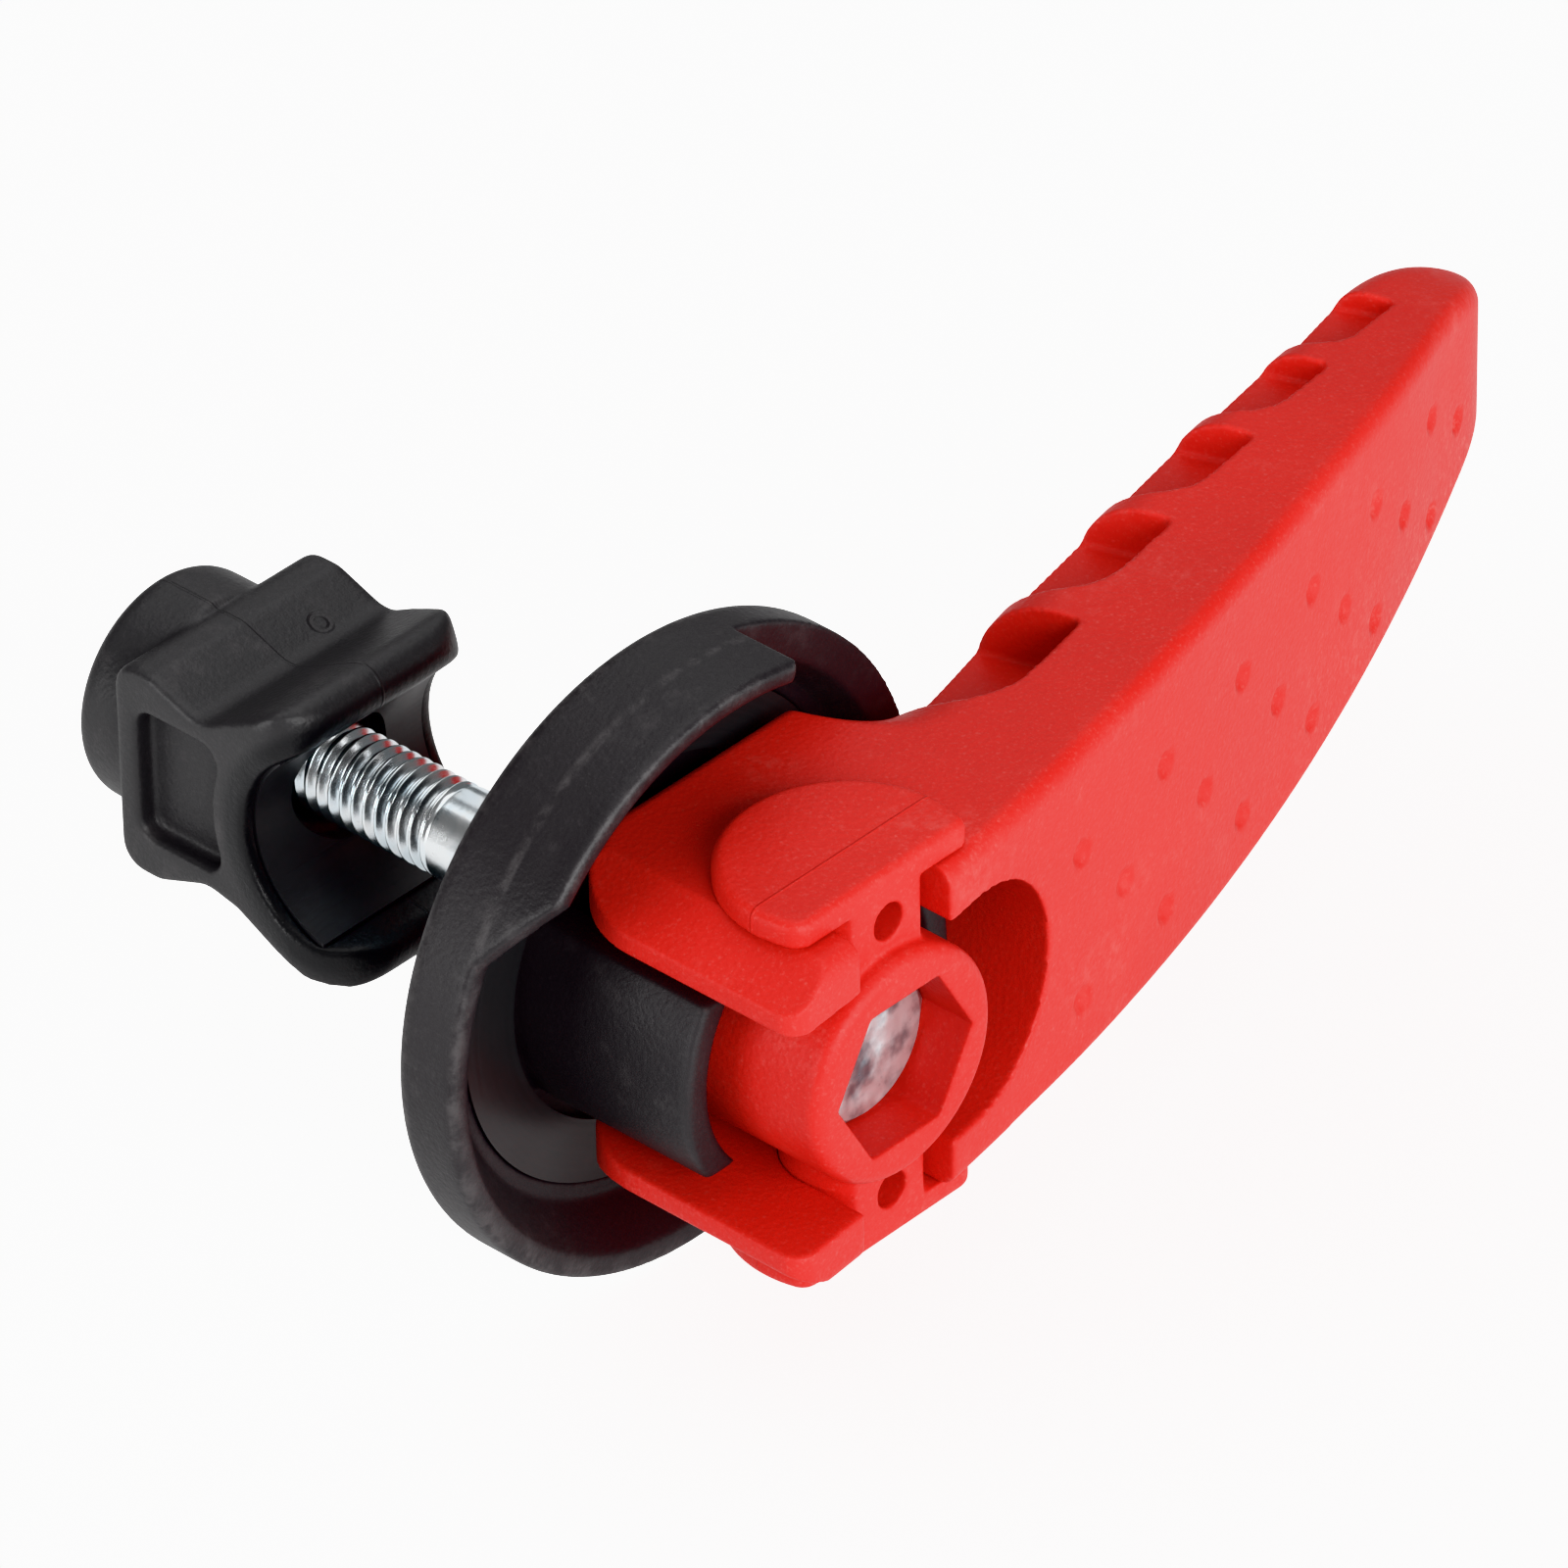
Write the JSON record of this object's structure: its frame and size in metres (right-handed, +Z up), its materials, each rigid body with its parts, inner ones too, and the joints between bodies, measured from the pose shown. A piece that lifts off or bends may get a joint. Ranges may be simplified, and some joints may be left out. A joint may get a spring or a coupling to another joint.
{
  "type": "quick-release lever clamp",
  "caption": "Quick-release clamp for a tube: a lined saddle jaw on a threaded bolt, and a dish pressed toward it by a red cam lever that swings on a trunnion barrel.",
  "frame": {"origin": "where the axis of the held tube crosses the axis of the bolt, in the middle of the jaw's saddle", "axes": "+X along the bolt from the jaw to the lever, +Y along the held tube and the closed lever, +Z up along the lever's pivot"},
  "size_m": [0.0813, 0.1328, 0.0546],
  "materials": {
    "jaw_plastic": "fine moulded texture",
    "pad_rubber": "smooth",
    "insert_brass": "machined",
    "zinc_steel": "bright zinc plate",
    "red_barrel": "fine moulded texture",
    "dish_plastic": "fine moulded texture",
    "ring_plastic": "smooth",
    "red_lever": "fine spark-eroded texture"
  },
  "bodies": {
    "jaw_body": {"jaw": "jaw_plastic", "saddle_pad": "pad_rubber"},
    "insert_body": {"threaded_insert": "insert_brass"},
    "bolt_body": {"clamp_bolt": "zinc_steel", "trunnion_barrel": "red_barrel"},
    "dish_body": {"cam_dish": "dish_plastic", "wear_ring": "ring_plastic"},
    "lever_body": {"lever": "red_lever"}
  },
  "joints": [
    {"name": "screw_turn", "type": "hinge", "parent": "jaw_body", "child": "insert_body", "pos_m": [0, 0, 0], "axis": [1, 0, 0], "range_deg": [-720, 720]},
    {"name": "screw_feed", "type": "slide", "parent": "insert_body", "child": "bolt_body", "axis": [1, 0, 0], "range_m": [-0.0026, 0.0026]},
    {"name": "lever_pivot", "type": "hinge", "parent": "bolt_body", "child": "lever_body", "pos_m": [0.0454, 0, 0], "axis": [0, 0, -1], "range_deg": [0, 90]},
    {"name": "dish_slide", "type": "slide", "parent": "bolt_body", "child": "dish_body", "axis": [-1, 0, 0], "range_m": [0, 0.008]}
  ],
  "couplings": [
    {"joint": "screw_feed", "follows": "screw_turn", "m_per_rad": 0.00019894}
  ]
}
